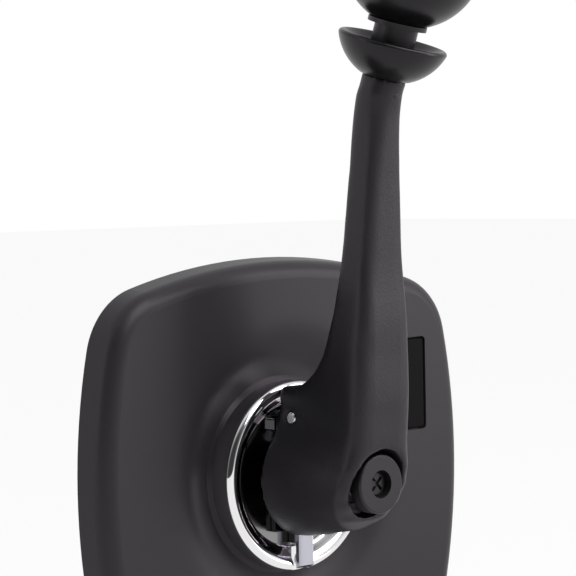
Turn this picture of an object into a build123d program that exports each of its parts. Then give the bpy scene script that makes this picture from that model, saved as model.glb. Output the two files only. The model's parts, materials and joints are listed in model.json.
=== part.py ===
from build123d import *
from math import acos, atan2, cos, pi, radians, sin, sqrt, tan
import os

# Side-mount boat throttle control. Millimetres, +Z up, the lever's axis along Y through the origin.
# The panel's front face is the plane Y = 0; the cover and lever stand in front of it, towards -Y,
# and the gear case hangs behind it, towards +Y. "depth" below always means the distance in front
# of the panel, so depth = -Y. Forward on the boat is towards -X.

# ---- clearances ----
running_gap = 0.05  # radial play of a shaft in its bush
slide_gap = 0.1  # radial play of a part that slides in a bore
free_gap = 0.3  # play between pieces that pass each other
seat_gap = 0.4  # margin round a plate in its recess

# ---- trim cover ----
cover_half_width = 83.0
cover_half_height = 72.4
cover_side_radius = 209.0
cover_top_radius = 225.0
cover_corner_radius = 25.5
cover_depth = 12.4
cover_draft = 7.2  # degrees
cover_edge_radius = 6.0
cover_wall = 2.5
cover_centre_z = 1.0
dish_radius = 54.0
dish_floor_radius = 33.5
peg_radius = 2.0
boss_radius = 4.0
peg_inset_x = 35.0
peg_inset_z = 24.4

# ---- badge plate, left bare ----
badge_width = 19.0
badge_height = 32.0
badge_thickness = 1.3
badge_corner_radius = 1.6
badge_bevel = 0.5
badge_edge_inset = 19.0  # from the cover's side at its middle
badge_centre_z = 27.0
badge_sink = 0.3  # the plate's face below the cover's face

# ---- mounting plate and gasket ----
gasket_thickness = 1.0
plate_thickness = 2.5
panel_hole_radius = 2.75
panel_hole_inset_x = 21.0
panel_hole_inset_z = 22.4

# ---- chrome detent ring ----
ring_lip_radius = 32.0
ring_draft_radius = 0.3
ring_inner_radius = 24.3
ring_crest_depth = 15.9
ring_bore_depth = 11.5
ring_skirt_radius = 29.0
notch_width = 8.4
ring_screw_radius = 1.5
ring_screw_circle = 26.6
ring_screw_length = 7.0

# ---- lever arm ----
boot_rear_depth = 17.5
boot_rear_radius = 18.5
boot_neck_half_width = 9.7
boot_top_z = 31.0
boot_wall = 2.1
boot_pocket_depth = 11.5
hub_front_radius = 15.8
hub_front_depth = 52.8
arm_front_radius = 3.6
arm_rear_radius = 3.0
stem_foot_z = 123.0
stem_foot_depth = 55.3
stem_lean_out = 16.0  # degrees, away from the panel
stem_lean_aft = 5.0  # degrees, towards +X
neck_radius = 7.2
neck_length = 9.9
spigot_radius = 5.6
spigot_foot = 2.0

# ---- button in the hub ----
button_radius = 9.76
button_hole_radius = 11.5
button_hole_depth = 12.0
button_thickness = 4.8
button_proud = 1.3
button_travel = 4.0
button_recess_radius = 4.6
button_recess_depth = 3.2
button_screw_head_radius = 3.9
button_screw_head_height = 1.0
button_screw_length = 9.0
button_cross_reach = 2.9
button_cross_width = 1.1
button_spring_wire = 0.9
button_spring_radius = 6.0
button_spring_turns = 2
plunger_screw_radius = 1.6
plunger_radius = 3.1

# ---- hub shaft and what turns with it ----
shaft_radius = 8.0
shaft_flat = 6.6
shaft_rear = 40.5
retaining_ring_thickness = 1.2
retaining_groove = 0.9
guide_lug_width = 3.6
guide_lug_height = 4.4
guide_lug_z = 18.0
cross_pin_half_length = 10.4
set_screw_length = 6.0
disc_thickness = 4.4
disc_rear_depth = 8.0
set_screw_radius = 2.5
cross_pin_radius = 2.0
cross_pin_z = 20.6
cross_pin_from_rear = 4.9

# ---- neutral lock ----
lock_travel = 7.2
slider_thickness = 2.0
slider_half_width = 11.0
tongue_half_width = 3.3
tongue_tip_z = 31.0
tongue_thickness = 2.0
tongue_lift = 0.3  # gap over the ring's crest
slider_head_half_width = 7.0
slider_head_top_z = 15.5
fork_web = 2.4
fork_top_z = 21.5
lug_end_radius = 2.5
slider_leg_top_z = 8.0
slider_leg_foot_z = 18.0
tongue_root_z = 22.5
tongue_web = 5.0
lug_thickness = 3.0
rod_radius = 1.0
rod_bore_radius = 2.0
rod_foot_z = 14.0
rod_foot_depth = 48.0
rod_bend_height = -5.2
rod_foot_length = 6.0
rod_side_offset = 2.3
lift_pin_radius = 1.0
lift_pin_height = 11.4
lift_pin_half_length = 8.5
lock_spring_wire = 0.8
lock_spring_radius = 2.5
lock_spring_turns = 8
lock_spring_seat_z = 46.0

# ---- lock collar, stem and knob, measured along the stem from its foot ----
collar_rim_height = 20.6
collar_rim_radius = 17.9
collar_foot_drop = 10.9
collar_foot_radius = 8.3
collar_lip_rise = 1.3
collar_dish_drop = 1.7
collar_belly = 1.5  # how far its outside bulges from a plain cone
stem_bore_radius = 4.4
stem_thread_radius = 3.0
knob_radius = 22.8
knob_centre_height = 49.0
washer_radius = 9.7
washer_thickness = 1.5
insert_radius = 4.2
insert_length = 16.0
knob_flat_radius = 9.0

# ---- gears ----
gear_module = 1.25
drive_teeth = 20
sector_teeth = 32
sector_teeth_cut = 12
gear_width = 6.0
gear_start = 7.0
gear_backlash = 0.16
pressure_angle = 20.0

# ---- detent wheel, switch and friction screw ----
wheel_radius = 14.0
wheel_width = 5.0
wheel_start = 17.5
wheel_hub_wall = 2.0
plunger_pin_radius = 2.5
switch_pin_radius = 1.5
detent_travel = 0.8
switch_width = 26.0
switch_depth = 10.0
switch_height = 12.0
switch_screw_radius = 1.2
switch_screw_spacing = 20.0
switch_pin_length = 12.5
terminal_width = 4.8
terminal_thickness = 0.8
terminal_height = 7.0
terminal_spacing = 8.0
detent_angle = 32.0  # degrees of lever travel from neutral to each in-gear detent
detent_notch_radius = 1.4
detent_pin_length = 12.7
detent_tube_radius = 5.0
detent_tube_top_z = -18.0
detent_spring_radius = 1.85
detent_spring_wire = 0.7
detent_spring_turns = 7
friction_screw_radius = 3.0
friction_pad_radius = 4.0
friction_pad_length = 3.7
friction_place = 27.0
friction_head_gap = 1.0  # from the case's side
friction_head_radius = 5.0
friction_head_height = 4.0
friction_boss_radius = 7.0
friction_boss_length = 6.0

# ---- gear case ----
case_wall = 3.0
case_front_wall = 5.0
case_half_width = 49.0
case_top_z = 23.0
case_bottom_z = -48.0
case_corner_radius = 12.0
case_rear = 34.0
case_cover_thickness = 4.0
case_post_radius = 5.0
bush_wall = 2.5
bush_flange = 1.5
case_screw_radius = 2.0
case_screw_inset = 7.0

# ---- cable arms and bracket ----
arm_shaft_radius = 5.0
cable_arm_length = 34.0
cable_arm_thickness = 4.0
cable_hole_radius = 2.6
cable_hole_pitch = 6.0
nut_half_width = 6.5
nut_height = 5.0
shaft_blind = 3.0
bracket_thickness = 2.0
bracket_reach = 29.0  # past the case's side
bracket_tab_depth = 16.0
anchor_hole_radius = 3.5
bracket_screw_margin = 8.0
bracket_margin = 7.0
bracket_window_inset = 16.0

# ---- places worked out from the sizes ----
plate_front = gasket_thickness + plate_thickness
dish_floor_depth = plate_front + cover_wall
gear_centre_distance = gear_module * (drive_teeth + sector_teeth) / 2
sector_offset = gear_centre_distance * sin(radians(45))
floor_depth = hub_front_depth - button_hole_depth
case_front = -gasket_thickness
cover_back = case_rear + case_cover_thickness
lean_aft = tan(radians(stem_lean_aft))
lean_out = tan(radians(stem_lean_out))
stem_direction = Vector(lean_aft, -lean_out, 1).normalized()
stem_foot = Vector(0, -stem_foot_depth, stem_foot_z)
arm_top_z = 137.0
arm_top_depth = stem_foot_depth + (arm_top_z - stem_foot_z) * lean_out
case_front_inner = case_front + case_front_wall
cable_arm_start = cover_back + bracket_thickness + 2.0
bush_radius = shaft_radius + bush_wall
arm_bush_radius = arm_shaft_radius + bush_wall
wheel_middle = wheel_start + wheel_width / 2
pin_gap_z = wheel_radius + free_gap
switch_top_z = case_top_z + switch_height
case_floor_z = case_bottom_z + case_wall
cable_place = cable_arm_start + cable_arm_thickness / 2
cable_heights = (-sector_offset - cable_arm_length, -sector_offset + cable_arm_length)
arm_shaft_end = cable_arm_start + cable_arm_thickness + nut_height + 1.0
tongue_rear = ring_crest_depth + tongue_lift
tongue_front = tongue_rear + tongue_thickness
slider_rear = disc_rear_depth + disc_thickness + free_gap
slot_end_depth = rod_foot_depth + lug_end_radius
slot_top_z = rod_foot_z + rod_foot_length + lock_travel
lug_low_z = rod_foot_z
spring_well_radius = lock_spring_radius + lock_spring_wire / 2 + 0.7
set_screw_depth = (boot_rear_depth + boot_pocket_depth + floor_depth) / 2
plunger_rear = gear_start + gear_width
guide_lug_x = slider_head_half_width + slide_gap + guide_lug_width / 2
cross_pin_depth = boot_rear_depth + cross_pin_from_rear

os.makedirs("parts", exist_ok=True)


def front(depth):
    """Drawing plane in front of the panel: local x is X, local y is Z, extruding goes to -Y."""
    return Plane.XZ.offset(depth)


def behind(distance):
    """Drawing plane behind the panel: local x is -X, local y is Z, extruding goes to +Y."""
    return Plane(origin=(0, distance, 0), x_dir=(-1, 0, 0), z_dir=(0, 1, 0))


def side(x):
    """Drawing plane across the lever: local x is Y, local y is Z, extruding goes to +X."""
    return Plane.YZ.offset(x)


def along_stem(height):
    """Drawing plane square to the leaning stem, at a height above its foot."""
    return Plane(origin=stem_foot + stem_direction * height, x_dir=(1, 0, -lean_aft), z_dir=stem_direction)


rod_bend = along_stem(rod_bend_height).from_local_coords(Vector(-rod_side_offset, -1, 0))
rod_foot = Vector(0, -rod_foot_depth, rod_foot_z)


def rod_plane(height):
    """Plane square to the lower run of the lift rod, at a height above its foot."""
    along_rod = (rod_bend - rod_foot).normalized()
    return Plane(origin=rod_foot + along_rod * height, x_dir=(1, 0, 0), z_dir=along_rod)


# Turned profiles: local x is the radius, local y the depth, or the height along the stem.
turned = Plane(origin=(0, 0, 0), x_dir=(1, 0, 0), z_dir=(0, 0, -1))
stem_base = along_stem(0)
stem_turned = Plane(origin=stem_foot, x_dir=stem_base.x_dir, z_dir=stem_base.x_dir.cross(stem_direction))
stem_axis = Axis(stem_foot, stem_direction)


def save(part, name):
    """Label a finished piece and write its STEP file."""
    part.label = name
    export_step(part, f"parts/{name}.step")


# ================= trim cover =================
def cover_outline(sketch, inset):
    """Four shallow arcs that cross at four rounded corners, drawn inwards by the inset."""
    top_centre = cover_half_height - cover_top_radius
    side_centre = cover_half_width - cover_side_radius
    with Locations((0, cover_centre_z + top_centre)):
        Circle(cover_top_radius - inset)
    with Locations((0, cover_centre_z - top_centre)):
        Circle(cover_top_radius - inset, mode=Mode.INTERSECT)
    with Locations((side_centre, cover_centre_z)):
        Circle(cover_side_radius - inset, mode=Mode.INTERSECT)
    with Locations((-side_centre, cover_centre_z)):
        Circle(cover_side_radius - inset, mode=Mode.INTERSECT)
    fillet(sketch.vertices(), cover_corner_radius - inset)


def dish_region(back, far_depth):
    """Edge of the space between the dished surface, moved back by a wall, and a far depth."""
    with BuildLine() as edge:
        floor_edge = (dish_floor_radius, dish_floor_depth - back)
        rim_edge = (dish_radius, cover_depth - back)
        Bezier(floor_edge, (dish_floor_radius + 9, dish_floor_depth - back + 5), (dish_radius - 9, cover_depth - back), rim_edge)
        Polyline(rim_edge, (dish_radius, far_depth), (0, far_depth), (0, dish_floor_depth - back), floor_edge)
    return edge.line


with BuildPart() as cavity:
    with BuildSketch(front(0)) as cavity_sketch:
        cover_outline(cavity_sketch, cover_wall)
    extrude(amount=cover_depth - cover_wall, taper=cover_draft)
    fillet(cavity.faces().sort_by(Axis.Y)[0].edges(), cover_edge_radius - cover_wall)
    with BuildSketch(turned):
        add(dish_region(cover_wall, cover_depth))
        make_face()
    revolve(axis=Axis.Y, mode=Mode.SUBTRACT)

badge_centre = (cover_half_width - badge_edge_inset - badge_width / 2, badge_centre_z)
peg_places = GridLocations(2 * (cover_half_width - peg_inset_x), 2 * (cover_half_height - peg_inset_z), 2, 2)

with BuildPart() as trim_cover:
    with BuildSketch(front(0)) as cover_sketch:
        cover_outline(cover_sketch, 0)
    extrude(amount=cover_depth, taper=cover_draft)
    fillet(trim_cover.faces().sort_by(Axis.Y)[0].edges(), cover_edge_radius)
    add(cavity.part, mode=Mode.SUBTRACT)
    with BuildSketch(turned):
        add(dish_region(0, cover_depth + 1))
        make_face()
    revolve(axis=Axis.Y, mode=Mode.SUBTRACT)
    with BuildSketch(front(0)):
        Circle(ring_skirt_radius + slide_gap)
    extrude(amount=cover_depth, mode=Mode.SUBTRACT)
    with BuildSketch(front(cover_depth - badge_thickness - badge_sink)):
        with Locations(badge_centre):
            RectangleRounded(badge_width + 2 * seat_gap, badge_height + 2 * seat_gap, badge_corner_radius)
    extrude(amount=cover_depth, mode=Mode.SUBTRACT)
    with BuildSketch(front(plate_front)):
        with peg_places:
            Circle(boss_radius)
    extrude(amount=cover_depth - cover_wall / 2 - plate_front)
    with BuildSketch(front(gasket_thickness)):
        with peg_places:
            Circle(peg_radius)
    extrude(amount=plate_thickness)
save(trim_cover.part, "trim_cover")

with BuildPart() as badge_plate:
    with BuildSketch(front(cover_depth - badge_thickness - badge_sink)):
        with Locations(badge_centre):
            RectangleRounded(badge_width, badge_height, badge_corner_radius)
    extrude(amount=badge_thickness)
    chamfer(badge_plate.faces().sort_by(Axis.Y)[0].edges(), badge_bevel)
save(badge_plate.part, "badge_plate")


# ================= mounting plate, gasket and chrome ring =================
panel_holes = GridLocations(
    2 * (cover_half_width - panel_hole_inset_x), 2 * (cover_half_height - panel_hole_inset_z), 2, 2
)
case_screw_places = [
    (x * (case_half_width - case_screw_inset), z)
    for x in (-1, 1)
    for z in (case_top_z - case_screw_inset, case_bottom_z + case_screw_inset)
]
ring_screw_places = PolarLocations(ring_screw_circle, 3, start_angle=90)

with BuildPart() as mounting_plate:
    with BuildSketch(front(gasket_thickness)) as plate_sketch:
        cover_outline(plate_sketch, cover_wall + 2 * seat_gap)
        Circle(shaft_radius + 2 * free_gap, mode=Mode.SUBTRACT)
        with panel_holes:
            Circle(panel_hole_radius, mode=Mode.SUBTRACT)
        with peg_places:
            Circle(peg_radius + running_gap, mode=Mode.SUBTRACT)
        with ring_screw_places:
            Circle(ring_screw_radius, mode=Mode.SUBTRACT)
        with Locations(*case_screw_places):
            Circle(case_screw_radius, mode=Mode.SUBTRACT)
    extrude(amount=plate_thickness)
    with BuildSketch(front(gasket_thickness)):
        with ring_screw_places:
            Circle(2 * ring_screw_radius)
    extrude(amount=ring_screw_radius, taper=45, mode=Mode.SUBTRACT)
save(mounting_plate.part, "mounting_plate")

with BuildPart() as panel_gasket:
    with BuildSketch(front(0)) as gasket_sketch:
        cover_outline(gasket_sketch, cover_wall + 2 * seat_gap)
        with Locations((0, (case_top_z + case_bottom_z) / 2)):
            RectangleRounded(
                2 * (case_half_width + seat_gap),
                case_top_z - case_bottom_z + 2 * seat_gap,
                case_corner_radius + seat_gap,
                mode=Mode.SUBTRACT,
            )
        with panel_holes:
            Circle(panel_hole_radius, mode=Mode.SUBTRACT)
        with peg_places:
            Circle(peg_radius + running_gap, mode=Mode.SUBTRACT)
    extrude(amount=gasket_thickness)
save(panel_gasket.part, "panel_gasket")

with BuildPart() as detent_ring:
    with BuildSketch(turned):
        with BuildLine():
            lip = (ring_lip_radius, ring_crest_depth - 2.0)
            crest = (ring_lip_radius - 2.0, ring_crest_depth)
            bore_edge = (ring_inner_radius, ring_bore_depth)
            base = (ring_lip_radius + ring_draft_radius, dish_floor_depth)
            Line(base, lip)
            ThreePointArc(lip, (ring_lip_radius - 0.6, ring_crest_depth - 0.6), crest)
            ThreePointArc(crest, (ring_lip_radius - 5.0, ring_crest_depth - 1.1), bore_edge)
            Polyline(
                bore_edge,
                (ring_inner_radius, plate_front),
                (ring_skirt_radius, plate_front),
                (ring_skirt_radius, dish_floor_depth),
                base,
            )
        make_face()
    revolve(axis=Axis.Y)
    with BuildSketch(front(ring_bore_depth)):
        with Locations((0, -(ring_inner_radius + ring_lip_radius) / 2)):
            Rectangle(notch_width, 2 * (ring_lip_radius - ring_inner_radius))
    extrude(amount=ring_crest_depth, mode=Mode.SUBTRACT)
    with BuildSketch(front(plate_front)):
        with ring_screw_places:
            Circle(ring_screw_radius)
    extrude(amount=ring_screw_length - plate_thickness, mode=Mode.SUBTRACT)
save(detent_ring.part, "detent_ring")

with BuildPart() as ring_screws:
    with BuildSketch(front(gasket_thickness)):
        with ring_screw_places:
            Circle(2 * ring_screw_radius)
    extrude(amount=ring_screw_radius, taper=45)
    with BuildSketch(front(gasket_thickness)):
        with ring_screw_places:
            Circle(ring_screw_radius)
    extrude(amount=ring_screw_length)
save(ring_screws.part, "ring_screws")


# ================= lever arm =================
def arm_outline(hub_radius, hub_joint, side_points):
    """The arm seen from the front: a round hub that narrows to the neck, the same left and right."""
    top = (neck_radius + 1.8, arm_top_z)
    right = [top, *side_points, hub_joint]
    left = [(-x, z) for x, z in right]
    ends = ((0, -1), (hub_joint[1] / hub_radius, -hub_joint[0] / hub_radius))
    with BuildLine() as edge:
        Line(left[0], top)
        Spline(*right, tangents=ends)
        ThreePointArc(hub_joint, (0, -hub_radius), left[-1])
        Spline(*left, tangents=((0, -1), (-ends[1][0], ends[1][1])))
    return edge.line


arm_sides = [(8.0, 126), (7.6, 117), (8.3, 101), (9.6, 83), (10.9, 63)]
boot_joint_z = 11.0
boot_joint = (sqrt(boot_rear_radius**2 - boot_joint_z**2), boot_joint_z)
boot_sides = [(11.3, 50), (boot_neck_half_width + 0.5, 39), (boot_neck_half_width, 30), (boot_neck_half_width + 0.3, 20)]
front_outline_depth = 68.0
front_hub_radius = hub_front_radius - 1.3
hub_sides = [(11.6, 50), (12.7, 40), (13.9, 27), (14.5, 12)]

with BuildPart() as side_view:
    with BuildSketch(side(-2 * boot_rear_radius)):
        with BuildLine():
            boot_corner = (-boot_rear_depth, boot_top_z)
            rear_top = (-arm_top_depth + 8.0, arm_top_z)
            front_top = (-arm_top_depth - 8.0, arm_top_z)
            hub_foot = (-hub_front_depth + 0.4, -boot_rear_radius - 1)
            Spline(
                boot_corner,
                (-22, boot_top_z + 0.1),
                (-28.6, 33.2),
                (-34.2, 37.4),
                (-38.6, 43),
                (-42.2, 55),
                (-46.0, 76),
                (-48.0, 102),
                (-48.6, 118),
                (-49.1, 128),
                rear_top,
            )
            Line(rear_top, front_top)
            Spline(
                front_top,
                (-61.0, 114),
                (-59.0, 83),
                (-58.2, 44),
                (-56.2, 22),
                (-hub_front_depth, 0),
                hub_foot,
                tangents=((lean_out, -1), (0.0, -1)),
            )
            Polyline(hub_foot, (-boot_rear_depth, hub_foot[1]), boot_corner)
        make_face()
    extrude(amount=4 * boot_rear_radius)

with BuildPart() as neck_flare:
    with BuildSketch(stem_turned):
        with BuildLine():
            neck_top = (neck_radius, neck_length)
            neck_low = (neck_radius, neck_length / 2)
            skirt = (30, -26)
            Line((0, neck_length), neck_top)
            Line(neck_top, neck_low)
            Spline(neck_low, (8.3, -6), (11.4, -15), skirt, tangents=((0, -1), (1, -0.6)))
            Polyline(skirt, (90, -60), (90, -200), (0, -200), (0, neck_length))
        make_face()
    revolve(axis=stem_axis)

with BuildPart() as lever_arm:
    with BuildSketch(front(boot_rear_depth)):
        add(arm_outline(boot_rear_radius, boot_joint, arm_sides + boot_sides))
        make_face()
    with BuildSketch(front(front_outline_depth)):
        add(arm_outline(front_hub_radius, (front_hub_radius, 0), arm_sides + hub_sides))
        make_face()
    loft(ruled=True)
    add(side_view.part, mode=Mode.INTERSECT)
    outer = lever_arm.edges().filter_by(lambda edge: edge.length > 50 and (edge @ 0.5).Y < 1 - hub_front_depth)
    fillet(outer, arm_front_radius)
    inner = lever_arm.edges().filter_by(lambda edge: edge.length > 100 and (edge @ 0.5).Y > 3 - hub_front_depth)
    fillet(inner, arm_rear_radius)
    add(neck_flare.part, mode=Mode.INTERSECT)

    # The boot's hollow, open to the rear, with a gap at the bottom where the lock slider comes out.
    with BuildSketch(front(boot_rear_depth)):
        Circle(boot_rear_radius - boot_wall)
        with Locations((0, (boot_top_z - boot_wall) / 2)):
            Rectangle(2 * (boot_neck_half_width - boot_wall), boot_top_z - boot_wall)
    extrude(amount=boot_pocket_depth, mode=Mode.SUBTRACT)
    with BuildSketch(front(boot_rear_depth)):
        with Locations((0, -boot_rear_radius)):
            Rectangle(2 * (tongue_half_width + seat_gap), boot_rear_radius)
    extrude(amount=tongue_front - boot_rear_depth + free_gap, mode=Mode.SUBTRACT)

    # The shaft's seat, flattened on one side, and the set screw's hole under the hub.
    with BuildSketch(front(boot_rear_depth)):
        Circle(shaft_radius)
        with Locations((0, -shaft_flat - shaft_radius)):
            Rectangle(2 * shaft_radius, 2 * shaft_radius, mode=Mode.SUBTRACT)
    extrude(amount=hub_front_depth - boot_rear_depth, mode=Mode.SUBTRACT)
    with BuildSketch(Plane.XY.offset(-boot_rear_radius - 1)):
        with Locations((0, -set_screw_depth)):
            Circle(set_screw_radius)
    extrude(amount=boot_rear_radius + 1 - shaft_flat, mode=Mode.SUBTRACT)

    # The button's well.
    with BuildSketch(front(floor_depth)):
        Circle(button_hole_radius)
    extrude(amount=2 * button_hole_depth, mode=Mode.SUBTRACT)

    # The slot of the slider's lug, the lock spring's well, and the lift rod's way up to the stem.
    with BuildSketch(side(-lug_thickness / 2 - free_gap)):
        with Locations((-(boot_rear_depth + slot_end_depth) / 2, (lug_low_z + slot_top_z) / 2)):
            Rectangle(slot_end_depth - boot_rear_depth, slot_top_z - lug_low_z + 2 * free_gap)
    extrude(amount=lug_thickness + 2 * free_gap, mode=Mode.SUBTRACT)
    with BuildSketch(rod_plane(0)):
        Circle(spring_well_radius)
    extrude(amount=lock_spring_seat_z - rod_foot_z, mode=Mode.SUBTRACT)
    with BuildSketch(rod_plane(0)):
        Circle(rod_bore_radius)
    extrude(amount=rod_bend.Z - rod_foot_z + 1, mode=Mode.SUBTRACT)
    with BuildSketch(along_stem(rod_bend_height - 2)):
        with Locations((-rod_side_offset, 0)):
            Circle(rod_bore_radius + 0.6)
    extrude(amount=spigot_foot - rod_bend_height + 2.5, mode=Mode.SUBTRACT)
    with BuildSketch(along_stem(spigot_foot)):
        Circle(spigot_radius)
    extrude(amount=neck_length, mode=Mode.SUBTRACT)

    # The cross pin's hole.
    with BuildSketch(side(-2 * boot_neck_half_width)):
        with Locations((-cross_pin_depth, cross_pin_z)):
            Circle(cross_pin_radius)
    extrude(amount=4 * boot_neck_half_width, mode=Mode.SUBTRACT)
save(lever_arm.part, "lever_arm")

with BuildPart() as cross_pin:
    with BuildSketch(side(-cross_pin_half_length)):
        with Locations((-cross_pin_depth, cross_pin_z)):
            Circle(cross_pin_radius)
    extrude(amount=2 * cross_pin_half_length)
    chamfer(cross_pin.edges().filter_by(GeomType.CIRCLE), cross_pin_radius / 6)
save(cross_pin.part, "cross_pin")

with BuildPart() as set_screw:
    with BuildSketch(Plane.XY.offset(-shaft_flat - set_screw_length)):
        with Locations((0, -set_screw_depth)):
            Circle(set_screw_radius)
            RegularPolygon(set_screw_radius / 2, 6, mode=Mode.SUBTRACT)
    extrude(amount=set_screw_length)
    with BuildSketch(Plane.XY.offset(-shaft_flat)):
        with Locations((0, -set_screw_depth)):
            Circle(set_screw_radius)
    extrude(amount=-set_screw_length / 2)
save(set_screw.part, "set_screw")


# ================= hub shaft and what turns with it =================
with BuildPart() as hub_shaft:
    with BuildSketch(behind(-floor_depth)):
        Circle(shaft_radius)
        Circle(plunger_radius + slide_gap, mode=Mode.SUBTRACT)
    extrude(amount=floor_depth + plunger_rear)
    with BuildSketch(behind(plunger_rear)):
        Circle(shaft_radius)
    extrude(amount=shaft_rear - plunger_rear)
    with BuildSketch(behind(-floor_depth)):
        with Locations((0, -shaft_flat - shaft_radius)):
            Rectangle(2 * shaft_radius, 2 * shaft_radius)
    extrude(amount=floor_depth - boot_rear_depth - boot_pocket_depth, mode=Mode.SUBTRACT)
    with BuildSketch(behind(cover_back + free_gap)):
        Circle(shaft_radius + 1)
        Circle(shaft_radius - retaining_groove, mode=Mode.SUBTRACT)
    extrude(amount=retaining_ring_thickness, mode=Mode.SUBTRACT)
save(hub_shaft.part, "hub_shaft")

with BuildPart() as retaining_ring:
    with BuildSketch(behind(cover_back + free_gap)):
        Circle(shaft_radius + 2.4)
        Circle(shaft_radius - retaining_groove, mode=Mode.SUBTRACT)
        with Locations((0, -shaft_radius)):
            Rectangle(shaft_radius, shaft_radius, mode=Mode.SUBTRACT)
    extrude(amount=retaining_ring_thickness)
save(retaining_ring.part, "retaining_ring")

# The disc fills the ring's mouth and guides the slider's head between two lugs.
with BuildPart() as guide_disc:
    with BuildSketch(front(disc_rear_depth)):
        Circle(ring_inner_radius - free_gap)
        Circle(shaft_radius, mode=Mode.SUBTRACT)
    extrude(amount=disc_thickness)
    with BuildSketch(front(disc_rear_depth)):
        with Locations((-guide_lug_x, guide_lug_z), (guide_lug_x, guide_lug_z)):
            RectangleRounded(guide_lug_width, guide_lug_height, 0.8)
    extrude(amount=disc_thickness + free_gap + slider_thickness)
save(guide_disc.part, "guide_disc")


# ================= neutral lock =================
with BuildPart() as lock_slider:
    with BuildSketch(front(slider_rear)):
        with Locations((0, (slider_leg_top_z - slider_leg_foot_z) / 2)):
            Rectangle(2 * slider_half_width, slider_leg_top_z + slider_leg_foot_z)
        with Locations((0, slider_head_top_z / 2)):
            Rectangle(2 * slider_head_half_width, slider_head_top_z)
        with Locations((0, -tongue_root_z + tongue_web / 2)):
            Rectangle(2 * tongue_half_width, tongue_web)
        with Locations((0, -lock_travel / 2)):
            SlotCenterToCenter(lock_travel, 2 * (shaft_radius + free_gap), rotation=90, mode=Mode.SUBTRACT)
    extrude(amount=slider_thickness)
    with BuildSketch(side(-tongue_half_width)):
        with BuildLine():
            Polyline(
                (-slider_rear, -tongue_root_z + tongue_web),
                (-slider_rear, -tongue_root_z),
                (-tongue_rear, -tongue_root_z),
                (-tongue_rear, -tongue_tip_z),
                (-tongue_front, -tongue_tip_z + 1),
                (-tongue_front, -tongue_root_z + tongue_web),
                close=True,
            )
        make_face()
    extrude(amount=2 * tongue_half_width)
    tongue_sides = lock_slider.faces().sort_by(Axis.Y)[0].edges().filter_by(Axis.Z)
    fillet(tongue_sides, tongue_thickness * 0.45)
    with BuildSketch(side(-lug_thickness / 2)):
        with BuildLine():
            fork_rear = cross_pin_depth - cross_pin_radius - slide_gap
            fork_front = cross_pin_depth + cross_pin_radius + slide_gap
            fork_floor_z = cross_pin_z - lock_travel - cross_pin_radius - slide_gap
            lug_top_z = rod_foot_z + rod_foot_length
            Polyline(
                (-slider_rear, fork_floor_z - fork_web),
                (-slider_rear, slider_head_top_z),
                (-fork_rear + fork_web, slider_head_top_z),
                (-fork_rear + fork_web, fork_top_z),
                (-fork_rear, fork_top_z),
                (-fork_rear, fork_floor_z),
                (-fork_front, fork_floor_z),
                (-fork_front, fork_top_z),
                (-fork_front - fork_web, fork_top_z),
                (-fork_front - fork_web, lug_top_z),
                (-rod_foot_depth, lug_top_z),
                (-rod_foot_depth, lug_low_z),
                (-fork_front - fork_web, lug_low_z),
                (-fork_front - fork_web, fork_floor_z - fork_web),
                close=True,
            )
        make_face()
    extrude(amount=lug_thickness)
    with BuildSketch(rod_plane(0)):
        Circle(lug_end_radius)
    extrude(amount=rod_foot_length)
    with BuildSketch(rod_plane(0)):
        Circle(rod_radius)
    extrude(amount=rod_foot_length, mode=Mode.SUBTRACT)
save(lock_slider.part, "lock_slider")

# The rod rises straight up and the collar along the leaning stem, so the collar gains on the hook.
hook_gain = lock_travel * (1 - stem_direction.Z)
hook_height = lift_pin_height + lift_pin_radius + hook_gain + free_gap + rod_radius
rod_top = along_stem(hook_height).from_local_coords(Vector(-rod_side_offset, -1, 0))
hook_end = along_stem(hook_height).from_local_coords(Vector(rod_radius, -1, 0))
with BuildPart() as lift_rod:
    with BuildLine():
        FilletPolyline(rod_foot, rod_bend, rod_top, hook_end, radius=[8 * rod_radius, 1.3 * rod_radius])
    with BuildSketch(rod_plane(0)):
        Circle(rod_radius)
    sweep()
save(lift_rod.part, "lift_rod")


def coil(plane, radius, wire, length, turns):
    """A compression spring that stands on a plane, its coil centred on the plane's origin."""
    with BuildPart() as spring:
        with BuildLine():
            path = Helix(length / turns, length, radius, center=plane.origin, direction=plane.z_dir)
        with BuildSketch(Plane(origin=path @ 0, z_dir=path % 0)):
            RegularPolygon(wire / 2, 6)
        sweep()
    return spring.part


spring_foot = rod_foot_length + lock_spring_wire / 2 + seat_gap
save(
    coil(
        rod_plane(spring_foot),
        lock_spring_radius,
        lock_spring_wire,
        lock_spring_seat_z - rod_foot_z - spring_foot - lock_spring_wire / 2 - seat_gap,
        lock_spring_turns,
    ),
    "lock_spring",
)

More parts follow.
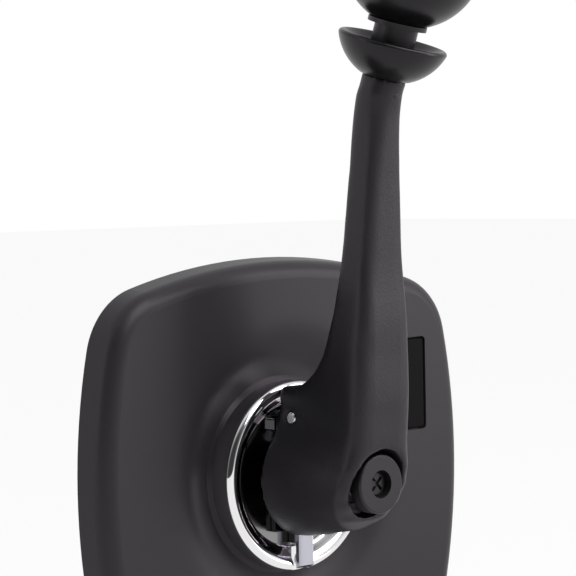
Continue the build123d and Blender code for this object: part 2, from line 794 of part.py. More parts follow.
with BuildPart() as lock_collar:
    with BuildSketch(stem_turned):
        with BuildLine():
            bore = neck_radius + slide_gap
            foot_height = collar_rim_height - collar_foot_drop
            rim = (collar_rim_radius, collar_rim_height)
            foot = (collar_foot_radius, foot_height)
            belly = (
                (collar_rim_radius + collar_foot_radius) / 2 + collar_belly * sin(radians(45)),
                collar_rim_height - collar_foot_drop / 2 - collar_belly * cos(radians(45)),
            )
            lip_top = (collar_rim_radius - 1.5, collar_rim_height + collar_lip_rise)
            dish_edge = (washer_radius + seat_gap, collar_rim_height - collar_dish_drop)
            ThreePointArc(foot, belly, rim)
            ThreePointArc(rim, (collar_rim_radius - 0.3, collar_rim_height + collar_lip_rise * 0.75), lip_top)
            Spline(lip_top, dish_edge, tangents=((-1, -0.5), (-1, -0.05)))
            Polyline(dish_edge, (bore, dish_edge[1] - 0.2), (bore, foot_height), foot)
        make_face()
    revolve(axis=stem_axis)
    with BuildSketch(Plane(origin=along_stem(lift_pin_height).origin, x_dir=(1, 0, 0), z_dir=along_stem(0).y_dir)):
        Circle(lift_pin_radius)
    extrude(amount=lift_pin_half_length, both=True, mode=Mode.SUBTRACT)
save(lock_collar.part, "lock_collar")

with BuildPart() as lift_pin:
    with BuildSketch(Plane(origin=along_stem(lift_pin_height).origin, x_dir=(1, 0, 0), z_dir=along_stem(0).y_dir)):
        Circle(lift_pin_radius)
    extrude(amount=lift_pin_half_length, both=True)
save(lift_pin.part, "lift_pin")


# ================= stem and knob =================
knob_flat_height = knob_centre_height - sqrt(knob_radius**2 - knob_flat_radius**2)
washer_foot = knob_flat_height - washer_thickness
insert_top = knob_flat_height + insert_length
stem_bore_top = hook_height + rod_radius + lock_travel + free_gap

with BuildPart() as stem:
    with BuildSketch(stem_turned):
        with BuildLine():
            Polyline(
                (stem_bore_radius, spigot_foot),
                (spigot_radius, spigot_foot),
                (spigot_radius, neck_length),
                (neck_radius, neck_length),
                (neck_radius, washer_foot),
                (stem_thread_radius, washer_foot),
                (stem_thread_radius, insert_top - 2),
                (0, insert_top - 2),
                (0, stem_bore_top),
                (stem_bore_radius, stem_bore_top),
                close=True,
            )
        make_face()
    revolve(axis=stem_axis)
    slot_height = lock_travel + 2 * (lift_pin_radius + slide_gap)
    with BuildSketch(Plane(origin=along_stem(lift_pin_height + lock_travel / 2).origin,
                           x_dir=stem_direction, z_dir=along_stem(0).y_dir)):
        SlotOverall(slot_height, 2 * (lift_pin_radius + slide_gap))
    extrude(amount=2 * neck_radius, both=True, mode=Mode.SUBTRACT)
save(stem.part, "stem")

with BuildPart() as knob_washer:
    with BuildSketch(along_stem(washer_foot)):
        Circle(washer_radius)
        Circle(stem_thread_radius, mode=Mode.SUBTRACT)
    extrude(amount=washer_thickness)
save(knob_washer.part, "knob_washer")

with BuildPart() as knob_insert:
    with BuildSketch(along_stem(knob_flat_height)):
        Circle(insert_radius)
        Circle(stem_thread_radius, mode=Mode.SUBTRACT)
    extrude(amount=insert_length)
save(knob_insert.part, "knob_insert")

with BuildPart() as knob:
    with BuildSketch(stem_turned):
        with BuildLine():
            crown = (0, knob_centre_height + knob_radius)
            flat_edge = (knob_flat_radius, knob_flat_height)
            ThreePointArc(flat_edge, (knob_radius, knob_centre_height), crown)
            Polyline(crown, (0, insert_top), (insert_radius, insert_top), (insert_radius, knob_flat_height), flat_edge)
        make_face()
    revolve(axis=stem_axis)
save(knob.part, "knob")


# ================= throttle-only button =================
button_face = hub_front_depth + button_proud
button_back = button_face - button_thickness

with BuildPart() as throttle_button:
    with BuildSketch(front(button_back)):
        Circle(button_radius)
        Circle(plunger_screw_radius, mode=Mode.SUBTRACT)
    extrude(amount=button_thickness)
    with BuildSketch(front(button_face - button_recess_depth)):
        Circle(button_recess_radius)
    extrude(amount=button_recess_depth, mode=Mode.SUBTRACT)
    fillet(throttle_button.faces().sort_by(Axis.Y)[0].outer_wire().edges(), 0.7)
save(throttle_button.part, "throttle_button")

with BuildPart() as button_screw:
    with BuildSketch(front(button_face - button_recess_depth)):
        Circle(button_screw_head_radius)
    extrude(amount=button_screw_head_height)
    fillet(button_screw.faces().sort_by(Axis.Y)[0].edges(), button_screw_head_height * 0.5)
    with BuildSketch(front(button_face - button_recess_depth)):
        Circle(plunger_screw_radius)
    extrude(amount=-button_screw_length)
    with BuildSketch(front(button_face - button_recess_depth + 0.2)):
        Rectangle(2 * button_cross_reach, button_cross_width, rotation=45)
        Rectangle(2 * button_cross_reach, button_cross_width, rotation=-45)
    extrude(amount=button_screw_head_height, mode=Mode.SUBTRACT)
save(button_screw.part, "button_screw")

with BuildPart() as button_plunger:
    with BuildSketch(behind(-button_back)):
        Circle(plunger_radius)
    extrude(amount=button_back + plunger_rear - button_travel - free_gap)
    with BuildSketch(behind(-button_back)):
        Circle(plunger_screw_radius)
    extrude(amount=button_screw_length, mode=Mode.SUBTRACT)
save(button_plunger.part, "button_plunger")

button_spring_start = button_spring_wire / 2 + free_gap
save(
    coil(
        front(floor_depth + button_spring_start),
        button_spring_radius,
        button_spring_wire,
        button_back - floor_depth - 2 * button_spring_start,
        button_spring_turns,
    ),
    "button_spring",
)


# ================= gears =================
def involute_point(base_radius, radius):
    """Angle, in radians, at which the involute from a base circle reaches a radius."""
    return tan(acos(base_radius / radius)) - acos(base_radius / radius)


def gear_tooth(teeth):
    """Edge of one tooth on the +X axis, thinned by the backlash, rooted just inside the root circle."""
    pitch_radius = gear_module * teeth / 2
    base_radius = pitch_radius * cos(radians(pressure_angle))
    root_radius = pitch_radius - 1.25 * gear_module
    tip_radius = pitch_radius + 0.95 * gear_module
    half_angle = pi / (2 * teeth) - gear_backlash / (2 * pitch_radius)
    start = max(base_radius, root_radius)
    flank = []
    for radius in (start, (start + tip_radius) / 2, tip_radius):
        angle = half_angle + involute_point(base_radius, pitch_radius) - involute_point(base_radius, radius)
        flank.append((radius * cos(angle), radius * sin(angle)))
    lower = [(x, -y) for x, y in flank]
    foot = root_radius - 0.4
    foot_angle = atan2(flank[0][1], flank[0][0])
    foot_upper = (foot * cos(foot_angle), foot * sin(foot_angle))
    foot_lower = (foot_upper[0], -foot_upper[1])
    with BuildLine() as edge:
        Polyline(flank[0], foot_upper, foot_lower, lower[0])
        ThreePointArc(*lower)
        ThreePointArc(lower[2], (tip_radius, 0), flank[2])
        ThreePointArc(*flank)
    return edge.line


def gear_sketch(teeth, angles):
    """A gear blank's root circle with a tooth at each angle, in the sketch's own directions."""
    with BuildSketch() as tooth:
        add(gear_tooth(teeth))
        make_face()
    with BuildSketch() as gear:
        Circle(gear_module * teeth / 2 - 1.25 * gear_module)
        for angle in angles:
            add(tooth.sketch, rotation=angle)
    return gear.sketch


# Both sectors mesh below the shaft, 45 degrees each side of straight down, where the pinion has a tooth.
drive_pitch = 360 / drive_teeth
sector_pitch = 360 / sector_teeth

with BuildPart() as drive_gear:
    with BuildSketch(behind(gear_start)):
        add(gear_sketch(drive_teeth, [-45 + drive_pitch * n for n in range(drive_teeth)]))
        Circle(shaft_radius, mode=Mode.SUBTRACT)
    extrude(amount=gear_width)
save(drive_gear.part, "drive_gear")

with BuildPart() as detent_wheel:
    with BuildSketch(behind(wheel_start)):
        Circle(wheel_radius)
        with PolarLocations(wheel_radius + 0.6, 3, -90 - detent_angle, 2 * detent_angle, endpoint=True):
            Circle(detent_notch_radius, mode=Mode.SUBTRACT)
        with Locations((0, wheel_radius + 0.6)):
            Circle(detent_notch_radius, mode=Mode.SUBTRACT)
        Circle(shaft_radius, mode=Mode.SUBTRACT)
    extrude(amount=wheel_width)
    with BuildSketch(behind(gear_start + gear_width)):
        Circle(shaft_radius + wheel_hub_wall)
        Circle(shaft_radius, mode=Mode.SUBTRACT)
    extrude(amount=wheel_start - gear_start - gear_width)
save(detent_wheel.part, "detent_wheel")


def cable_drive(side_name, sign, arm_angle):
    """One sector gear with its shaft, cable arm and nut, standing at x = sign * sector_offset."""
    centre = (-sign * sector_offset, -sector_offset)
    mesh_angle = 45 if sign > 0 else 135
    first = mesh_angle - sector_pitch * (sector_teeth_cut - 1) / 2
    hub_radius = arm_shaft_radius + 3.5
    with BuildPart() as sector:
        with BuildSketch(behind(gear_start)) as blank:
            with Locations(centre):
                add(gear_sketch(sector_teeth, [first + sector_pitch * n for n in range(sector_teeth_cut)]))
                Circle(hub_radius)
                Circle(arm_shaft_radius, mode=Mode.SUBTRACT)
        extrude(amount=gear_width)
    save(sector.part, f"{side_name}_gear")
    with BuildPart() as shaft:
        with BuildSketch(behind(case_front_inner - shaft_blind)):
            with Locations(centre):
                Circle(arm_shaft_radius)
        extrude(amount=arm_shaft_end - case_front_inner + shaft_blind)
    save(shaft.part, f"{side_name}_shaft")
    tip = (centre[0] + cable_arm_length * sin(radians(arm_angle)), centre[1] + cable_arm_length * cos(radians(arm_angle)))
    with BuildPart() as arm:
        with BuildSketch(behind(cable_arm_start)) as plate:
            with Locations(centre):
                Circle(arm_shaft_radius + 4)
            with Locations(tip):
                Circle(cable_hole_radius + 3)
            make_hull()
            with Locations(centre):
                Circle(arm_shaft_radius, mode=Mode.SUBTRACT)
            for step in range(3):
                share = 1 - step * cable_hole_pitch / cable_arm_length
                spot = (centre[0] + (tip[0] - centre[0]) * share, centre[1] + (tip[1] - centre[1]) * share)
                with Locations(spot):
                    Circle(cable_hole_radius, mode=Mode.SUBTRACT)
        extrude(amount=cable_arm_thickness)
    save(arm.part, f"{side_name}_arm")
    with BuildPart() as nut:
        with BuildSketch(behind(cable_arm_start + cable_arm_thickness)):
            with Locations(centre):
                RegularPolygon(nut_half_width, 6, major_radius=False)
                Circle(arm_shaft_radius, mode=Mode.SUBTRACT)
        extrude(amount=nut_height)
    save(nut.part, f"{side_name}_nut")


cable_drive("shift", 1, 180)
cable_drive("throttle", -1, 0)


# ================= gear case =================
arm_shaft_places = [(-sector_offset, -sector_offset), (sector_offset, -sector_offset)]
switch_screw_places = [(x * switch_screw_spacing / 2, wheel_middle) for x in (-1, 1)]


def case_outline(inset):
    """The case seen from the front, drawn inwards by the inset."""
    with Locations((0, (case_top_z + case_bottom_z) / 2)):
        RectangleRounded(
            2 * (case_half_width - inset),
            case_top_z - case_bottom_z - 2 * inset,
            case_corner_radius - inset,
        )


with BuildPart() as gear_case:
    with BuildSketch(behind(case_front)):
        case_outline(0)
    extrude(amount=case_rear - case_front)
    with BuildSketch(behind(case_front_inner)):
        case_outline(case_wall)
        with Locations(*case_screw_places):
            Circle(case_post_radius, mode=Mode.SUBTRACT)
    extrude(amount=case_rear - case_front_inner, mode=Mode.SUBTRACT)

    # The detent plunger's tube stands on the floor, and the friction screw's boss on one side wall.
    with BuildSketch(Plane.XY.offset(case_floor_z)):
        with Locations((0, wheel_middle)):
            Circle(detent_tube_radius)
            Circle(plunger_pin_radius + slide_gap, mode=Mode.SUBTRACT)
    extrude(amount=detent_tube_top_z - case_floor_z)
    with BuildSketch(side(case_half_width - case_wall - friction_boss_length)):
        with Locations((friction_place, 0)):
            Circle(friction_boss_radius)
    extrude(amount=friction_boss_length)
    with BuildSketch(side(case_half_width - case_wall - friction_boss_length)):
        with Locations((friction_place, 0)):
            Circle(friction_screw_radius + running_gap)
    extrude(amount=friction_boss_length + case_wall, mode=Mode.SUBTRACT)

    # The bearings in the front wall.
    with BuildSketch(behind(case_front)):
        Circle(bush_radius)
        with Locations(*case_screw_places):
            Circle(case_screw_radius)
    extrude(amount=case_front_wall, mode=Mode.SUBTRACT)
    with BuildSketch(behind(case_front_inner - shaft_blind)):
        with Locations(*arm_shaft_places):
            Circle(arm_shaft_radius + running_gap)
    extrude(amount=shaft_blind, mode=Mode.SUBTRACT)
    with BuildSketch(behind(case_front_inner)):
        with Locations(*case_screw_places):
            Circle(case_screw_radius)
    extrude(amount=case_rear - case_front_inner, mode=Mode.SUBTRACT)

    # The switch's pin and screws come in through the top.
    with BuildSketch(Plane.XY.offset(case_top_z - case_wall)):
        with Locations((0, wheel_middle)):
            Circle(switch_pin_radius + slide_gap)
        with Locations(*switch_screw_places):
            Circle(switch_screw_radius)
    extrude(amount=case_wall, mode=Mode.SUBTRACT)
save(gear_case.part, "gear_case")

with BuildPart() as case_cover:
    with BuildSketch(behind(case_rear)):
        case_outline(0)
        Circle(bush_radius, mode=Mode.SUBTRACT)
        with Locations(*arm_shaft_places):
            Circle(arm_bush_radius, mode=Mode.SUBTRACT)
        with Locations(*case_screw_places):
            Circle(case_screw_radius, mode=Mode.SUBTRACT)
    extrude(amount=case_cover_thickness)
    fillet(case_cover.faces().sort_by(Axis.Y)[-1].outer_wire().edges(), case_cover_thickness * 0.3)
save(case_cover.part, "case_cover")


def bushes(places, start, length, bore, flange_start, flange_length):
    """Flanged bushes for shafts of one size, lined up along Y."""
    with BuildPart() as group:
        with BuildSketch(behind(start)):
            with Locations(*places):
                Circle(bore + bush_wall)
        extrude(amount=length)
        with BuildSketch(behind(flange_start)):
            with Locations(*places):
                Circle(bore + bush_wall + bush_flange)
        extrude(amount=flange_length)
        with BuildSketch(behind(min(start, flange_start))):
            with Locations(*places):
                Circle(bore + running_gap)
        extrude(amount=length + flange_length, mode=Mode.SUBTRACT)
    return group.part


front_flange = gear_start - free_gap - case_front_inner
on_axis = [(0, 0)]
save(
    bushes(on_axis, case_front, case_front_wall, shaft_radius, case_front_inner, front_flange),
    "front_bush",
)
save(
    bushes(on_axis, case_rear, case_cover_thickness, shaft_radius, case_rear - bush_flange, bush_flange),
    "rear_bush",
)
save(
    bushes(arm_shaft_places, case_rear, case_cover_thickness, arm_shaft_radius, case_rear - bush_flange, bush_flange),
    "arm_bushes",
)


def screws(plane, places, radius, length):
    """Pan-head screws with hex sockets, their heads standing on the plane."""
    head_height = 0.7 * radius
    with BuildPart() as group:
        with BuildSketch(plane):
            with Locations(*places):
                Circle(1.8 * radius)
        extrude(amount=head_height)
        tops = group.faces().sort_by(Axis(plane.origin, plane.z_dir))[-len(places):]
        fillet(tops.edges(), head_height * 0.4)
        with BuildSketch(plane):
            with Locations(*places):
                Circle(radius)
        extrude(amount=-length)
        with BuildSketch(plane.offset(head_height * 0.3)):
            with Locations(*places):
                RegularPolygon(radius * 0.8, 6)
        extrude(amount=head_height, mode=Mode.SUBTRACT)
    return group.part


screw_grip = case_wall + case_screw_inset
left_screws = [(-x, z) for x, z in case_screw_places if x < 0]
right_screws = [(-x, z) for x, z in case_screw_places if x > 0]
save(screws(front(plate_front), case_screw_places, case_screw_radius, plate_thickness + screw_grip), "plate_screws")
save(
    screws(behind(cover_back), left_screws, case_screw_radius, case_cover_thickness + screw_grip),
    "case_screws",
)
save(
    screws(
        behind(cover_back + bracket_thickness),
        right_screws,
        case_screw_radius,
        bracket_thickness + case_cover_thickness + screw_grip,
    ),
    "bracket_screws",
)


# ================= detent, switch and friction screw =================
with BuildPart() as detent_plunger:
    with BuildSketch(Plane.XY.offset(-pin_gap_z)):
        with Locations((0, wheel_middle)):
            Circle(plunger_pin_radius)
    extrude(amount=-detent_pin_length)
    fillet(detent_plunger.faces().sort_by(Axis.Z)[-1].edges(), plunger_pin_radius * 0.6)
save(detent_plunger.part, "detent_plunger")

detent_spring_foot = case_floor_z + detent_spring_wire / 2 + free_gap
save(
    coil(
        Plane(origin=(0, wheel_middle, detent_spring_foot)),
        detent_spring_radius,
        detent_spring_wire,
        -pin_gap_z - detent_pin_length - detent_spring_foot - detent_spring_wire / 2 - free_gap,
        detent_spring_turns,
    ),
    "detent_spring",
)

with BuildPart() as neutral_switch:
    with BuildSketch(Plane.XY.offset(case_top_z)):
        with Locations((0, wheel_middle)):
            RectangleRounded(switch_width, switch_depth, 1)
    extrude(amount=switch_height)
    with BuildSketch(Plane.XY.offset(case_top_z)):
        with Locations((0, wheel_middle)):
            Circle(switch_pin_radius + slide_gap)
    extrude(amount=pin_gap_z + switch_pin_length - case_top_z + detent_travel + free_gap, mode=Mode.SUBTRACT)
    with BuildSketch(Plane.XY.offset(case_top_z)):
        with Locations(*switch_screw_places):
            Circle(switch_screw_radius)
    extrude(amount=switch_height, mode=Mode.SUBTRACT)
save(neutral_switch.part, "neutral_switch")

with BuildPart() as switch_terminals:
    with BuildSketch(Plane.XY.offset(switch_top_z)):
        with Locations((-terminal_spacing / 2, wheel_middle), (terminal_spacing / 2, wheel_middle)):
            Rectangle(terminal_thickness, terminal_width)
    extrude(amount=terminal_height)
save(switch_terminals.part, "switch_terminals")

save(
    screws(Plane.XY.offset(switch_top_z), switch_screw_places, switch_screw_radius, switch_height + case_wall),
    "switch_screws",
)

with BuildPart() as switch_pin:
    with BuildSketch(Plane.XY.offset(pin_gap_z)):
        with Locations((0, wheel_middle)):
            Circle(switch_pin_radius)
    extrude(amount=switch_pin_length)
    fillet(switch_pin.faces().sort_by(Axis.Z)[0].edges(), switch_pin_radius * 0.6)
save(switch_pin.part, "switch_pin")

friction_nose_x = shaft_radius + free_gap
friction_head_x = case_half_width + friction_head_gap
friction_pad_x = friction_nose_x + friction_pad_length

with BuildPart() as friction_screw:
    with BuildSketch(side(friction_pad_x)):
        with Locations((friction_place, 0)):
            Circle(friction_screw_radius)
    extrude(amount=friction_head_x - friction_pad_x)
    with BuildSketch(side(friction_head_x)):
        with Locations((friction_place, 0)):
            Circle(friction_head_radius)
    extrude(amount=friction_head_height)
    chamfer(friction_screw.faces().sort_by(Axis.X)[-1].edges(), friction_head_height / 8)
    with BuildSketch(side(friction_head_x + friction_head_height / 2)):
        with Locations((friction_place, 0)):
            Rectangle(2.2 * friction_head_radius, friction_head_height / 3)
    extrude(amount=friction_head_height, mode=Mode.SUBTRACT)
save(friction_screw.part, "friction_screw")

with BuildPart() as friction_pad:
    with BuildSketch(side(friction_nose_x)):
        with Locations((friction_place, 0)):
            Circle(friction_pad_radius)
    extrude(amount=friction_pad_length)
    chamfer(friction_pad.faces().sort_by(Axis.X)[0].edges(), friction_pad_length / 6)
save(friction_pad.part, "friction_pad")


# ================= cable bracket =================
bracket_tab_x = case_half_width + bracket_reach
bracket_start_x = case_half_width - case_screw_inset - bracket_screw_margin
bracket_low_z = cable_heights[0] - bracket_margin
bracket_high_z = cable_heights[1] + bracket_margin
bracket_centre = (-(bracket_start_x + bracket_tab_x) / 2, (bracket_low_z + bracket_high_z) / 2)

with BuildPart() as cable_bracket:
    with BuildSketch(behind(cover_back)):
        with Locations(bracket_centre):
            Rectangle(bracket_tab_x - bracket_start_x, bracket_high_z - bracket_low_z)
            RectangleRounded(
                bracket_tab_x - bracket_start_x - 1.4 * bracket_window_inset,
                bracket_high_z - bracket_low_z - 2 * bracket_window_inset,
                bracket_margin / 2,
                mode=Mode.SUBTRACT,
            )
        with Locations(*right_screws):
            Circle(case_screw_radius, mode=Mode.SUBTRACT)
    extrude(amount=bracket_thickness)
    fillet(cable_bracket.edges().filter_by(Axis.Y).group_by(Axis.X)[0], bracket_margin)
    with BuildSketch(side(bracket_tab_x - bracket_thickness)):
        with Locations(*[(cover_back + bracket_tab_depth / 2, z) for z in cable_heights]):
            Rectangle(bracket_tab_depth, 2 * bracket_margin)
        with Locations(*[(cable_place, z) for z in cable_heights]):
            Circle(anchor_hole_radius, mode=Mode.SUBTRACT)
    extrude(amount=bracket_thickness)
save(cable_bracket.part, "cable_bracket")
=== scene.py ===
# %% [markdown]
# # A side-mount throttle control for a boat
#
# The control is bolted to the side panel next to the driver's seat. A cast lever turns on a hub,
# a ball knob sits on its leaning stem, and a collar under the knob is lifted to unlock neutral.
# The solids are already exact, so they are loaded as a fixed frame. What is left for this script
# is what a solid model lacks: the studio, the finishes, and the pieces whose surfaces need a
# finer mesh than a solid gives.

# %% The frame
import bmesh
import bpy
import json
from math import pi, radians, sqrt
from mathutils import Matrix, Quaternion, Vector
from mathutils.geometry import interpolate_bezier


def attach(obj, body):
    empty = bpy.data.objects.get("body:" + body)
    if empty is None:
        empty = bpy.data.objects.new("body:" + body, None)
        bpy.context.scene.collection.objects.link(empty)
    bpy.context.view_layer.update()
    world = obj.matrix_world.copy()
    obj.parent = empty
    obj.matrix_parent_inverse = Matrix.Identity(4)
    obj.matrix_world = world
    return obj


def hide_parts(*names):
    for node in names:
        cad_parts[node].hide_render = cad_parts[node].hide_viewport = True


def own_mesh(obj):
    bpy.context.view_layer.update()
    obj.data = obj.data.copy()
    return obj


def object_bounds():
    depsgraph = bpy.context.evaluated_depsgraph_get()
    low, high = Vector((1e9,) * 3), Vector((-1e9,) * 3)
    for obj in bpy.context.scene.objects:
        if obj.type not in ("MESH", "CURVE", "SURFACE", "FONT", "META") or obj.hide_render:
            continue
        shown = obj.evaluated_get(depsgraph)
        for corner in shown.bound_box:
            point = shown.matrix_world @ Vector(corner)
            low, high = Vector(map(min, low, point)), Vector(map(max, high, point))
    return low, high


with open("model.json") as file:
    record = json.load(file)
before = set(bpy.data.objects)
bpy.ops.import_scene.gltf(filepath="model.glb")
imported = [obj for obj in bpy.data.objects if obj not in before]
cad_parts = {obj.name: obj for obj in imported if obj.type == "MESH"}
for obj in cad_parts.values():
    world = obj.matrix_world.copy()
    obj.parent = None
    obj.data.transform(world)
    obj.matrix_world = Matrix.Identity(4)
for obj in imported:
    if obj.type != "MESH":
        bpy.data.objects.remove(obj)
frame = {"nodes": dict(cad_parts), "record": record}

cad_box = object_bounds()
print("solids:", len(frame["nodes"]), "box:", cad_box)

# %% [markdown]
# ## The camera
#
# A long lens, about 160 mm, nearly a metre away: the lever's sides stay almost parallel. The
# camera stands in front and to the left, a little above the hub, and is rolled by about a degree.

# %% Camera
camera_place = Vector((-0.59216, -0.64905, 0.10254))
camera_target = Vector((-0.00449, -0.01602, 0.06345))
camera_roll = radians(-1.108)

camera_data = bpy.data.cameras.new("camera")
camera_data.lens = 161.70
camera_data.sensor_width = 36.0
camera_data.clip_end = 50.0
camera = bpy.data.objects.new("camera", camera_data)
bpy.context.scene.collection.objects.link(camera)
bpy.context.scene.camera = camera
camera.location = camera_place
aim = (camera_target - camera_place).to_track_quat("-Z", "Y")
camera.rotation_mode = "QUATERNION"
camera.rotation_quaternion = aim @ Quaternion((0, 0, 1), camera_roll)
bpy.context.scene.view_settings.view_transform = "Standard"
print("camera", round((camera_target - camera_place).length, 3), "m from what it looks at")

# %% [markdown]
# ## Shader maths that reads as Python
#
# A material is a network of nodes, and wiring one by hand takes a line for each link. This class
# wraps one socket. Its operators add Math nodes, so `mask * 0.1 + 0.3` builds the network that it
# describes, and `make` adds any other node from its type, settings and inputs.

# %% One socket
class Socket:
    """An output of a node, or the empty start of a tree."""

    def __init__(self, tree, output=None):
        self.tree = tree
        self.output = output

    def make(self, kind, settings=None, inputs=None, out=0):
        """Add a node: its settings first, then the values or links of its inputs."""
        node = self.tree.nodes.new(kind)
        for name, value in (settings or {}).items():
            setattr(node, name, value)
        for name, value in (inputs or {}).items():
            if isinstance(value, Socket):
                self.tree.links.new(value.output, node.inputs[name])
            else:
                node.inputs[name].default_value = value
        return Socket(self.tree, node.outputs[out] if len(node.outputs) else None)

    def maths(self, operation, first, second):
        return self.make("ShaderNodeMath", {"operation": operation}, {0: first, 1: second})

    def __add__(self, other):
        return self.maths("ADD", self, other)

    def __mul__(self, other):
        return self.maths("MULTIPLY", self, other)

    def __rsub__(self, other):
        return self.maths("SUBTRACT", other, self)

    def at_most(self, limit):
        return self.maths("MINIMUM", self, limit)


# %% [markdown]
# ## Small tools
#
# Some jobs come back: an empty node tree to fill, a kind of ray to tell from the others, a working
# mesh to keep under a name, an object to link. A solid's faces come apart from each other, so its
# copy is merged before anything else is done to it.

# %% Small tools
merge_distance = 0.000001
mm = 1000  # millimetres in a metre


def empty_tree(owner):
    """The cleared node tree of a world or a material."""
    owner.use_nodes = True
    owner.node_tree.nodes.clear()
    return Socket(owner.node_tree)


def light_rays(start):
    """Whether a ray comes from the camera, a glossy face or a clear one: 1 or 0 each."""
    camera_ray = start.make("ShaderNodeLightPath", out="Is Camera Ray")
    outputs = camera_ray.output.node.outputs
    glossy_ray = Socket(start.tree, outputs["Is Glossy Ray"])
    through_ray = Socket(start.tree, outputs["Is Transmission Ray"])
    return camera_ray, glossy_ray, through_ray


def mesh_from(work, name):
    """Keep a working mesh under a name."""
    mesh = bpy.data.meshes.new(name)
    work.to_mesh(mesh)
    work.free()
    return mesh


def new_object(name, data):
    """An object in the scene, at the origin."""
    piece = bpy.data.objects.new(name, data)
    bpy.context.scene.collection.objects.link(piece)
    return piece


def merged_copy(solid_name):
    """A working copy of a solid's mesh, with its faces joined."""
    work = bmesh.new()
    work.from_mesh(frame["nodes"][solid_name].data)
    bmesh.ops.remove_doubles(work, verts=work.verts, dist=merge_distance)
    return work


def smooth_faces(work):
    for face in work.faces:
        face.smooth = True


# %% [markdown]
# ## The studio
#
# Black glossy things are lit by what they reflect. A product studio is bright at the sides, behind
# and overhead, and dark round the camera, so faces turned to the lens go deep black while every
# edge that turns away picks up light. The world below is that room. What the camera sees is plain
# white. For soft light it gives an even glow. For reflections it is a little under white, and it
# falls to nearly black round one fixed direction, the one that the camera looks from.

# %% World
room_level = 0.85  # what a glossy face sees at the sides
room_dark = 0.05  # the share of it that is left round the camera
room_edges = (0.92, 0.30)  # cosines from the camera's direction: dark inside, bright outside
glow_level = 0.35


def studio_world():
    world = bpy.data.worlds.new("studio")
    bpy.context.scene.world = world
    start = empty_tree(world)
    direction = start.make("ShaderNodeTexCoord", out="Generated")
    to_camera = (camera_place - camera_target).normalized()
    facing = start.make(
        "ShaderNodeVectorMath",
        {"operation": "DOT_PRODUCT"},
        {0: direction, 1: to_camera},
        "Value",
    )
    dark_edge, bright_edge = room_edges
    room = start.make(
        "ShaderNodeMapRange",
        {"interpolation_type": "SMOOTHERSTEP"},
        {"Value": facing, "From Min": bright_edge, "From Max": dark_edge,
         "To Min": 1.0, "To Max": room_dark},
    )
    camera_ray, glossy_ray, through_ray = light_rays(start)
    seen = (camera_ray + through_ray).at_most(1.0)
    soft = 1 - (seen + glossy_ray).at_most(1.0)
    level = seen + glossy_ray * room * room_level + soft * glow_level
    glow = start.make("ShaderNodeBackground", inputs={"Color": (1, 1, 1, 1), "Strength": level})
    start.make("ShaderNodeOutputWorld", inputs={"Surface": glow})
    print("world:", len(start.tree.nodes), "nodes")


studio_world()

# %% [markdown]
# ## The floor
#
# The floor is white paint for the light that falls on it, so the control throws a shadow there. To
# the camera, and in chrome and glass, it is nearly the white of the background.

# %% Floor
floor_gap = 0.004
floor_size = 6.0
floor_paint = 0.8
floor_seen = 0.93  # how much of what is seen is plain white, and not paint


def studio_floor():
    work = bmesh.new()
    bmesh.ops.create_grid(work, x_segments=1, y_segments=1, size=floor_size)
    bmesh.ops.translate(work, verts=work.verts, vec=(0, 0, cad_box[0].z - floor_gap))
    mesh = mesh_from(work, "floor")
    floor = new_object("floor", mesh)
    material = bpy.data.materials.new("floor_white")
    start = empty_tree(material)
    paint_colour = (floor_paint, floor_paint, floor_paint, 1)
    paint = start.make("ShaderNodeBsdfDiffuse", inputs={"Color": paint_colour})
    white = start.make("ShaderNodeEmission", inputs={"Color": (1, 1, 1, 1), "Strength": 1.0})
    camera_ray, glossy_ray, through_ray = light_rays(start)
    seen = (camera_ray + glossy_ray + through_ray).at_most(1.0) * floor_seen
    mixed = start.make("ShaderNodeMixShader", inputs={0: seen, 1: paint, 2: white})
    start.make("ShaderNodeOutputMaterial", inputs={"Surface": mixed})
    mesh.materials.append(material)
    print("floor:", round(floor_gap * mm), "mm under the control")


studio_floor()

# %% [markdown]
# ## The lamps
#
# Three softboxes. The large one overhead draws the light along the top of the cover and the ring,
# the right one models the lever's front, and a faint one from behind on the left parts its dark
# side from the cover.

# %% Lamps
lamp_target = Vector((0.0, -0.03, 0.05))
lamps = {  # place, width, height, watts
    "overhead": ((0.2, -0.75, 0.95), 1.0, 0.8, 10.5),
    "right_box": ((1.0, -0.95, 0.45), 0.5, 1.0, 6.0),
    "left_box": ((-1.15, 0.35, 0.45), 0.4, 0.9, 1.0),
}


def soft_lamp(name, place, width, height, watts):
    """A rectangular softbox that faces the control."""
    data = bpy.data.lights.new(name, "AREA")
    data.shape = "RECTANGLE"
    data.size = width
    data.size_y = height
    data.energy = watts
    lamp = new_object(name, data)
    lamp.location = place
    lamp.rotation_euler = (lamp_target - Vector(place)).to_track_quat("-Z", "Y").to_euler()


for lamp_name, settings in lamps.items():
    soft_lamp(lamp_name, *settings)
print("lamps:", ", ".join(lamps))

# %% [markdown]
# ## Finishes
#
# None of these pieces is one flat colour. The cover is a moulding with a fine spark-eroded
# texture, the lever a casting under a grainy powder coat, and the metal parts keep the marks of
# how they were turned, cast or plated. Each finish mixes two close tones with slow noise, varies
# its roughness the same way, and has a bump at the scale of the real grain. Everything reads
# Object coordinates, which are metres here, so a grain of half a millimetre is a scale of 2000.

# %% The common recipe
specular_tint = (1.0, 0.91, 1.0, 1.0)
mix_first, mix_second, mix_result = 6, 7, 2  # a Mix node's sockets for colours


def noise(start, scale, stretch=(1, 1, 1), detail=2.0):
    """Noise from 0 to 1 on Object coordinates, finer along an axis that is stretched."""
    coords = start.make("ShaderNodeTexCoord", out="Object")
    placed = start.make("ShaderNodeMapping", inputs={"Vector": coords, "Scale": stretch})
    return start.make(
        "ShaderNodeTexNoise", inputs={"Vector": placed, "Scale": scale, "Detail": detail}
    )


